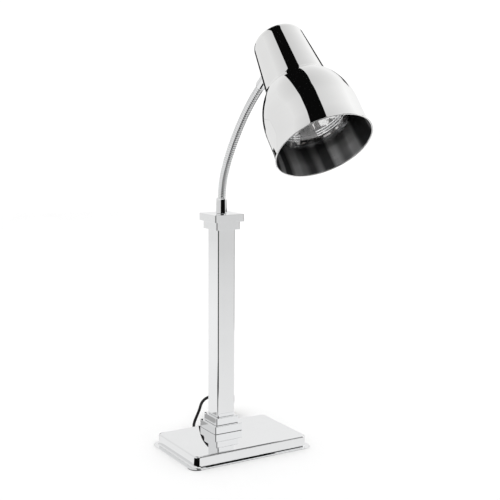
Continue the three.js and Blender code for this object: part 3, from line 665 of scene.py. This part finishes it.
def add_column(materials):
    """The square tube. The strain relief and the switch stand on its back face."""
    bottom, top = COLUMN_ENDS
    loop = rounded([(-1.5, bottom), (0, bottom, 0.1), (0, top, 0.1), (-1.5, top)], steps=1, closed=True)
    place = Matrix.Translation((0, COLUMN_Y, 0))
    shell = swept_rectangle(loop, COLUMN_SIDE, COLUMN_SIDE, 3.0, steps=12, closed=True)
    add_piece("column_shell", shell, materials["polished_steel"], ["column_tube"], place)


# ---------------------------------------------------------------- gooseneck

NECK_RADIUS = 7.75 * MM
RIB_PITCH = 5.0 * MM
RIB_DEPTH = 1.8 * MM
RIB_ROUNDNESS = 0.96  # 1 would make each rib a full half round
RINGS_PER_RIB = 12
NECK_SIDES = 48
HOSE_BEFORE_HINGES = 6 * MM
HOSE_AFTER_HINGES = 8 * MM


def neck_curve():
    """The hose's centreline as points, and the numbers of the points where its nine lengths meet or end."""
    starts = [HINGES[0] - Vector((0, 0, 1)) * HOSE_BEFORE_HINGES]
    starts += [(a + b) / 2 for a, b in zip(HINGES, HINGES[1:])]
    ends = [*starts[1:], HINGES[-1] + TO_SHADE * HOSE_AFTER_HINGES]
    points = []
    breaks = [0]
    for start, hinge, end in zip(starts, HINGES, ends):
        for t in np.linspace(0, 1, 200, endpoint=False):
            points.append((1 - t) ** 2 * start + 2 * t * (1 - t) * hinge + t * t * end)
        breaks.append(len(points))
    points.append(ends[-1])
    return np.array([tuple(p) for p in points]), breaks


def add_gooseneck(materials):
    """The spiral-wound hose in nine lengths, each curved round one joint of the neck."""
    dense, breaks = neck_curve()
    along = np.concatenate([[0], np.cumsum(np.linalg.norm(np.diff(dense, axis=0), axis=1))])
    marks = [along[i] for i in breaks]
    stations = []
    for low, high in zip(marks, marks[1:]):
        count = round((high - low) / RIB_PITCH * RINGS_PER_RIB)
        stations.append(np.linspace(low, high, count + 1))
    angles = np.linspace(0, 2 * np.pi, NECK_SIDES, endpoint=False)
    all_points = np.concatenate([stations[0], *[s[1:] for s in stations[1:]]])
    centres = np.stack([np.interp(all_points, along, dense[:, axis]) for axis in range(3)], 1)
    _, first, second = path_frames(centres)
    turns = all_points[:, None] / RIB_PITCH - angles[None, :] / (2 * np.pi)
    across = 2 * (turns - np.floor(turns)) - 1
    radius = NECK_RADIUS - RIB_DEPTH * (1 - np.sqrt(1 - RIB_ROUNDNESS * across ** 2))
    out = np.cos(angles)[None, :, None] * first[:, None] + np.sin(angles)[None, :, None] * second[:, None]
    rings = centres[:, None] + radius[:, :, None] * out
    begin = 0
    for i, station in enumerate(stations):
        end = begin + len(station)
        node = f"neck_link_{min(i + 1, 8)}"
        piece = add_piece(
            f"gooseneck_{i + 1}", skin(rings[begin:end]), materials["gooseneck_steel"], [node],
            sharp=50, ride=False,
        )
        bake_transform(piece)
        begin = end - 1


def add_ferrules(materials):
    """The turned ends of the hose, at the capital and at the shade."""
    steel = materials["polished_steel"]
    lower = rounded([
        (8.2, 480), (9, 467.6, 0.2), (10.7, 467.5, 0.4), (10.6, 470, 1), (10.05, 493.5, 2),
        (9.9, 495.4, 0.8), (9.2, 497.5, 0.8), (8.0, 497.6, 0.3), (8.0, 494),
    ])
    place = Matrix.Translation((0, COLUMN_Y, 0))
    add_piece("neck_foot_ferrule", lathe(lower, 72), steel, ["neck_lower_ferrule"], place)
    upper = rounded([
        (8.0, 6), (8.0, 2.6, 0.3), (9.2, 2.6, 0.8), (10.2, 5.2, 1.2), (10.2, 39.5, 0.5), (9.9, 40.2, 0.4),
        (9.9, 41.8, 0.3), (5.2, 41.8),
    ])
    place = Matrix.Translation(HINGES[-1]) @ Matrix.Rotation(SHADE_TILT, 4, "X")
    add_piece("neck_head_ferrule", lathe(upper, 72), steel, ["neck_upper_ferrule"], place)


# ---------------------------------------------------------------- shade and lamp

def shade_frame():
    """The shade's place: its mouth's centre, with z up its axis."""
    mouth = HINGES[-1] + TO_SHADE * NECK_TO_AXIS - SHADE_UP * MOUNT_HEIGHT
    return Matrix.Translation(mouth) @ Matrix.Rotation(SHADE_TILT - math.pi / 2, 4, "X")


def arc_points(centre, radius, start, end, steps):
    """(radius, height) points on an arc, with angles in degrees."""
    angles = np.radians(np.linspace(start, end, steps + 1))
    return [(centre[0] + radius * math.cos(a), centre[1] + radius * math.sin(a)) for a in angles]


BARREL = 83.5
SHOULDER_RADIUS = 113
FLARE_RADIUS = 135
SHELL_DEPTH = 0.7  # of the polished outside
LINING_DEPTH = 1.2  # of the lining's inner face, from the outside


def shade_outline():
    """The outside of the shade from the crown to the rim, in mm."""
    crown = arc_points((26.4, 223), 20, 90, 0, 24)
    waist = arc_points((67.74, 136.55), 12, 186.1, 218.9, 28)
    shoulder = arc_points((BARREL - SHOULDER_RADIUS, 58), SHOULDER_RADIUS, 38.9, 0, 60)
    flare = arc_points((BARREL + FLARE_RADIUS, 28), FLARE_RADIUS, 180, 191.3, 16)
    crown_top = [(0, 243), (12, 243), (24, 243)]
    return [*crown_top, *crown, *waist, *shoulder, (BARREL, 50), (BARREL, 38), *flare]


def inset(outline, depth):
    """The outline moved inwards by depth, in mm."""
    points = np.array(outline)
    along = np.gradient(points, axis=0)
    along /= np.linalg.norm(along, axis=1)[:, None]
    moved = points + depth * np.stack([along[:, 1], -along[:, 0]], 1)
    moved[0] = (0, outline[0][1] - depth)
    return [tuple(p) for p in moved]


def in_metres(points):
    """Points in mm, turned into metres."""
    return [(x * MM, y * MM) for x, y in points]


def add_shade(materials):
    """The polished outside with its rolled rim, the satin lining and the collar. Returns their place."""
    place = shade_frame()
    outside = shade_outline()
    middle = inset(outside, SHELL_DEPTH)
    inside = inset(outside, LINING_DEPTH)
    rim = arc_points((outside[-1][0] - 0.5, outside[-1][1] + 0.1), 1.15, 75, -215, 18)
    shell = [*outside[:-1], *rim, *middle[:-1][::-1]]
    add_piece("shade_spinning", lathe(in_metres(shell), 240), materials["polished_shade"], ["shade"], place)
    lining = [*middle[:-1], *inside[:-1][::-1]]
    add_piece("shade_lining", lathe(in_metres(lining), 160), lining_material(place), ["shade"], place)
    mount = place @ Matrix.Translation((0, 0, MOUNT_HEIGHT)) @ Matrix.Rotation(math.radians(-90), 4, "X")
    collar = rounded([
        (5.2, 43.5), (12, 44.5, 0.3), (12, 51.5, 0.8), (10.8, 53.5, 0.8), (5.2, 53.5),
    ], steps=4)
    add_piece("shade_collar", lathe(collar, 64), materials["polished_steel"], ["mount_collar"], mount)
    return place


def add_lamp(materials, place):
    """The reflector lamp: clear face, silvered back, screw cap and filament."""
    face = [
        (0, 31), *arc_points((0, 243), 212, -86, -76.3, 10), *arc_points((52.4, 47.2), 9.8, -50, 8, 10),
    ]
    glass = [*face, *inset(face, -1.0)[::-1]]
    add_piece("lamp_face", lathe(in_metres(glass), 144), materials["lamp_glass"], ["lamp_glass"], place)
    back = [(62.2, 49.5), (61.6, 56, 6)]
    for ring in range(3):
        back += [(60.8 - 1.5 * ring, 58.5 + 4.0 * ring, 1.0), (59.9 - 1.5 * ring, 59.3 + 4.0 * ring, 1.0)]
    back += [(43, 108, 60), (27, 137, 30), (22.8, 156, 8), (19.5, 161.5, 4), (12.4, 167.7)]
    back = [(x / MM, y / MM) for x, y in rounded(back, steps=6)]
    silver = [*back, *inset(back, 0.9)[1:-1][::-1], (61.4, 49.5)]
    reflector = lathe(in_metres(silver), 144)
    add_piece("lamp_reflector", reflector, reflector_material(place), ["lamp_glass"], place)
    cap = [(12.0, 168)]
    for turn in range(6):
        foot = 170 + 3.6 * turn
        cap += [(12.1, foot, 0.8), (13.0, foot + 1.8, 0.9)]
    cap += [(12.1, 192, 0.8), (10.5, 195, 1), (6, 198, 1), (4.6, 201, 1), (0, 202.6)]
    add_piece("lamp_screw_cap", lathe(rounded(cap, steps=4), 64), materials["brass"], ["lamp_cap"], place)
    add_filament(materials, place)


def tube(points, radius, sides=16):
    """A round tube along a path, with capped ends."""
    points = np.asarray(points, float)
    _, first, second = path_frames(points)
    angles = np.linspace(0, 2 * np.pi, sides, endpoint=False)
    out = np.cos(angles)[None, :, None] * first[:, None] + np.sin(angles)[None, :, None] * second[:, None]
    return skin(points[:, None] + radius * out, cap_first=True, cap_last=True)


def joined(*geometries):
    """Several surfaces as one."""
    vertices = []
    faces = []
    for points, polygons in geometries:
        shift = len(vertices)
        vertices += [tuple(p) for p in points]
        faces += [tuple(i + shift for i in polygon) for polygon in polygons]
    return vertices, faces


FILAMENT_RADIUS = 12
FILAMENT_HEIGHT = 106
COIL_RADIUS = 0.9
COIL_TURNS = 64
COIL_POINTS = 420
POST_FOOT = 138


def add_filament(materials, place):
    """A post with two lead wires, three hooks and the coiled filament that hangs round it."""
    around_post = np.linspace(-0.75, 0.75, COIL_POINTS) * math.pi
    coil_angle = np.linspace(0, COIL_TURNS * 2 * math.pi, COIL_POINTS)
    ring = FILAMENT_RADIUS + COIL_RADIUS * np.cos(coil_angle)
    height = FILAMENT_HEIGHT + COIL_RADIUS * np.sin(coil_angle)
    coil = np.stack([ring * np.cos(around_post), ring * np.sin(around_post), height], 1) * MM
    parts = [tube(coil, 0.22 * MM, 6)]
    for end in (coil[0], coil[-1]):
        foot = np.array([0.15 * end[0], 0.15 * end[1], 140 * MM])
        parts.append(tube(np.linspace(foot, end, 6), 0.4 * MM, 8))
    post = rounded([(0, POST_FOOT), (2.2, POST_FOOT, 1), (2.6, 166), (0, 167)], steps=3)
    parts.append(lathe(post, 24))
    for i in range(3):
        angle = (i - 1) * 0.42 * math.pi
        tip = np.array([
            FILAMENT_RADIUS * math.cos(angle), FILAMENT_RADIUS * math.sin(angle), FILAMENT_HEIGHT,
        ]) * MM
        parts.append(tube(np.linspace((0, 0, POST_FOOT * MM), tip, 6), 0.25 * MM, 6))
    add_piece("lamp_filament_coil", joined(*parts), materials["tungsten"], ["lamp_filament"], place)


def add_holder(materials, place):
    """The porcelain lampholder and the screw shell in its bore."""
    body = rounded([
        (15.6, 174.4, 0.3), (21, 174, 0.8), (22, 175, 0.8), (22, 189, 0.6), (21.2, 190, 0.5),
        (21.2, 192, 0.5), (22, 193, 0.6), (22, 206, 1.5), (19, 209.5, 1.5), (19, 224.5, 1), (0, 225.2),
    ])
    bore = rounded([(0, 206), (15.6, 206, 0.6), (15.6, 174.4)])
    add_piece("holder_porcelain", lathe([*bore, *body], 80), materials["porcelain"], ["holder_body"], place)
    shell = [(15.3, 204)]
    for turn in range(7):
        foot = 199.5 - 3.6 * turn
        shell += [(15.3, foot + 1.8, 0.7), (14.2, foot, 0.7)]
    shell = rounded(shell, steps=3)
    inner = [(r - 0.4 * MM, z) for r, z in shell]
    thread = lathe([*shell, *inner[::-1]], 64, closed=True)
    add_piece("holder_screw_shell", thread, materials["brass"], ["holder_shell"], place)


# ---------------------------------------------------------------- switch

SWITCH_Z = 122 * MM
ROCKER_PIVOT = 17 * MM
ROCKER_OFF = math.radians(10)


def add_switch(materials):
    """The bezel on the column's back and the rocker in it, which stands at off."""
    plastic = materials["switch_plastic"]
    face = Matrix.Translation((0, COLUMN_Y, SWITCH_Z)) @ Matrix.Rotation(math.radians(-90), 4, "X")
    edge = rounded([
        (-2.1, 21.4, 0.3), (-2.1, 20.3, 0.1), (0, 20.3, 0.3), (0, 21.6, 0.7), (-1, 22.3, 0.5),
    ], closed=True)
    bezel = swept_rectangle(edge, 15, 21, 2.4, steps=6, closed=True)
    add_piece("switch_bezel", bezel, plastic, ["switch_body"], face)
    outline = np.array(rounded([
        (-7.2, 4.8, 0.6), (-7.2, 1.8, 0.3), (-3, -4.2, 0.6), (3, -4.2, 0.6), (7.2, 1.8, 0.3),
        (7.2, 4.8, 0.6), (0, 3.7, 3),
    ], steps=4, closed=True))
    middle = outline.mean(0)
    rings = []
    for x, shrink in ((-5, 0.94), (-4.85, 0.975), (-4.5, 1), (4.5, 1), (4.85, 0.975), (5, 0.94)):
        flat = middle + (outline - middle) * shrink
        rings.append(np.column_stack([np.full(len(flat), x * MM), flat[:, 1], flat[:, 0]]))
    place = Matrix.Translation((0, COLUMN_Y + ROCKER_PIVOT, SWITCH_Z)) @ Matrix.Rotation(ROCKER_OFF, 4, "X")
    cap = skin(rings, cap_first=True, cap_last=True)
    add_piece("switch_rocker_cap", cap, plastic, ["switch_rocker"], place)


# ---------------------------------------------------------------- kept CAD nodes, floor and light

SHADE_MIDDLE = Vector((0, -0.24, 0.70))
OVERHEAD_HEIGHT = 1.6  # of the black card over the shade
VEIL_HEIGHT = 1.65  # of the soft one over that
DOME_RADIUS = 25
FLOOR_REACH = 30


def finish_cad_nodes(materials):
    """Smooth shading and a real material for every CAD node that still shows."""
    for node, piece in frame["nodes"].items():
        if piece.hide_render:
            continue
        piece.data.materials.clear()
        piece.data.materials.append(materials[SLOT_OF[node]])
        piece.data.shade_smooth()
        piece.data.set_sharp_from_angle(angle=math.radians(SHARP_ANGLE))


def add_fade(tree, centre, reach):
    """One at the centre, and falling evenly to nothing at the reach."""
    gradient = tree.nodes.new("ShaderNodeTexGradient")
    gradient.gradient_type = "SPHERICAL"
    coordinates = add_coordinates(tree, [1 / reach] * 3, Matrix.Translation(centre))
    tree.links.new(coordinates, gradient.inputs["Vector"])
    return gradient.outputs["Fac"]


def tone_material(name, near, far=None, centre=(0, 0, 0), reach=1.0):
    """Light of one tone, or of a tone that fades from a centre outwards."""
    material = bpy.data.materials.new(name)
    material.use_nodes = True
    tree = material.node_tree
    tree.nodes.clear()
    light = tree.nodes.new("ShaderNodeEmission")
    light.inputs["Strength"].default_value = near
    output = tree.nodes.new("ShaderNodeOutputMaterial")
    tree.links.new(light.outputs["Emission"], output.inputs["Surface"])
    if far is not None:
        fade = add_fade(tree, centre, reach)
        tree.links.new(add_range(tree, fade, far, near, 0, 1), light.inputs["Strength"])
    return material


def veil_material(name, tone, centre, reach):
    """Light of one tone that thins out to clear from a centre outwards."""
    material = tone_material(name, tone)
    tree = material.node_tree
    clear = tree.nodes.new("ShaderNodeBsdfTransparent")
    veil = tree.nodes.new("ShaderNodeMixShader")
    tree.links.new(add_fade(tree, centre, reach), veil.inputs["Fac"])
    tree.links.new(clear.outputs["BSDF"], veil.inputs[1])
    tree.links.new(tree.nodes["Emission"].outputs["Emission"], veil.inputs[2])
    tree.links.new(veil.outputs["Shader"], tree.nodes["Material Output"].inputs["Surface"])
    return material


def add_mirrored(name, vertices, faces, material):
    """A studio surface that shows only in reflections."""
    mesh = bpy.data.meshes.new(name)
    mesh.from_pydata(vertices, [], faces)
    mesh.materials.append(material)
    card = bpy.data.objects.new(name, mesh)
    bpy.context.scene.collection.objects.link(card)
    card.visible_camera = False
    card.visible_diffuse = False
    card.visible_shadow = False
    card.visible_transmission = False


def around(centre, turn, distance, height):
    """A point round a centre. The turn is degrees to the right of the camera's heading."""
    angle = math.radians(VIEW_HEADING + turn)
    return (centre[0] + distance * math.sin(angle), centre[1] + distance * math.cos(angle), height)


def floor_sector(centre, turns, distances, height):
    """A level card between two turns and two distances."""
    near, far = distances
    inner = [around(centre, turn, near, height) for turn in turns]
    outer = [around(centre, turn, far, height) for turn in turns[::-1]]
    return [*inner, *outer]


def upright(centre, distance, corners):
    """An upright card at a distance from the centre, from its corners' (turn, height)."""
    return [around(centre, turn, distance, height) for turn, height in corners]


def wall(centre, turns, distance, low, high):
    """An upright card with a level foot and a level top."""
    first, last = turns
    return upright(centre, distance, [(first, low), (last, low), (last, high), (first, high)])


def above_shade(height, corners):
    """Points of a level card over the shade.

    The corners are along and across the camera's heading, as shares of the card's height."""
    heading = math.radians(VIEW_HEADING)
    along = Vector((math.sin(heading), math.cos(heading), 0))
    across = Vector((math.cos(heading), -math.sin(heading), 0))
    return [SHADE_MIDDLE + (along * u + across * v + Vector((0, 0, 1))) * height for u, v in corners]


BLACK = 0.003


def add_cards():
    """The dark cards that draw the dark lines in the polish. Those at floor level lie just under it."""
    column = (0, COLUMN_Y)
    front = (0, -0.2)
    over_base = [(x, y, 0.5) for x, y in ((0.15, -0.29), (0.35, -0.29), (0.35, -0.04), (0.15, -0.04))]
    quads = {
        "card_camera_floor": floor_sector(column, (126, 198), (0.42, 5), -0.0005),
        "card_camera_wall": wall(column, (126, 198), 2.4, 0.0, 1.1),
        "card_back_left": wall(front, (-30, -9), 5, 0.0, 1.5),
        "card_back_right": floor_sector(column, (16, 80), (1.2, 7), -0.0005),
        "card_back_right_high": upright(front, 4, [(9, 1.28), (28, 2.0), (27, 2.42), (9, 1.54)]),
        "card_front_right_low": wall(column, (95, 128), 6.0, 0.0, 1.4),
        "card_over_base": over_base,
        "card_front_right": wall(column, (94, 128), 3.0, 1.3, 3.6),
    }
    black = tone_material("black_card", BLACK)
    for name, corners in quads.items():
        add_mirrored(name, corners, [(0, 1, 2, 3)], black)

    far_floor = floor_sector(column, (296, 356), (3.2, 20), -0.0007)
    add_mirrored("far_floor", far_floor, [(0, 1, 2, 3)], tone_material("far_floor", 0.84))

    sheet = [(x, y, -0.0004) for x, y in ((-0.125, 0.10), (-0.04, 0.10), (-0.06, 0.21), (-0.125, 0.21))]
    add_mirrored("card_behind_base", sheet, [(0, 1, 2, 3)], tone_material("dim_card", 0.42))

    fan = [(-0.116, -0.100), (-0.085, -0.30), (-0.2, -0.5), (-0.6, -0.3), (-0.45, 0.02), (-0.142, -0.060)]
    add_mirrored("card_base_corner", [(x, y, -0.0003) for x, y in fan], [(0, 1, 2, 3, 4, 5)], black)

    overhead = [(-0.9, -0.56), (-0.9, 0.25), (-0.1, -0.02), (1.3, -0.2), (1.3, -0.66)]
    add_mirrored("card_overhead", above_shade(OVERHEAD_HEIGHT, overhead), [tuple(range(5))], black)
    soft = [(-2.2, -2.2), (-2.2, 2.2), (2.2, 2.2), (2.2, -2.2)]
    centre = above_shade(VEIL_HEIGHT, [(0, -0.2)])[0]
    veil = veil_material("overhead_veil", 0.62, centre, 2.6)
    add_mirrored("card_overhead_veil", above_shade(VEIL_HEIGHT, soft), [(0, 1, 2, 3)], veil)


def add_studio():
    """A white world, a pale floor, and the tones and cards that the polish reflects."""
    scene = bpy.context.scene
    scene.view_settings.view_transform = "Standard"
    world = bpy.data.worlds.new("studio")
    scene.world = world
    world.use_nodes = True
    background = world.node_tree.nodes["Background"]
    background.inputs["Color"].default_value = (1, 1, 1, 1)
    background.inputs["Strength"].default_value = 1.06

    square = [(x * FLOOR_REACH, y * FLOOR_REACH, 0) for x, y in ((-1, -1), (1, -1), (1, 1), (-1, 1))]
    floor_mesh = bpy.data.meshes.new("floor")
    floor_mesh.from_pydata(square, [], [(0, 1, 2, 3)])
    floor_mesh.materials.append(make_material(
        "pale_floor", (0.97, 0.97, 0.97), 0.7, tint=0.004, rough_spread=0.05, scale=8,
    ))
    floor = bpy.data.objects.new("floor", floor_mesh)
    scene.collection.objects.link(floor)
    floor.visible_glossy = False

    add_mirrored(
        "mirrored_floor", [(x, y, -0.001) for x, y, _ in square], [(0, 1, 2, 3)],
        tone_material("mirrored_floor", 0.98, 0.72, (-0.7, 1.0, 0), 4.0),
    )
    arc = np.linspace(0, math.pi / 2, 17)
    dome, faces = lathe([(DOME_RADIUS * math.cos(a), DOME_RADIUS * math.sin(a)) for a in arc], 48)
    dome_tone = tone_material("studio_dome", 1.12, 0.72, (20, -10, 12), 60)
    add_mirrored("studio_dome", [tuple(p) for p in dome], faces, dome_tone)
    add_cards()


def main():
    add_camera()
    materials = make_materials()
    cord, length = add_cord(materials)
    relief = add_strain_relief(materials)
    strap = add_strap(materials)
    plug = add_plug(materials)
    add_base(materials)
    add_steps(materials)
    add_column(materials)
    add_gooseneck(materials)
    add_ferrules(materials)
    place = add_shade(materials)
    add_lamp(materials, place)
    add_holder(materials, place)
    add_switch(materials)
    finish_cad_nodes(materials)
    add_studio()


main()
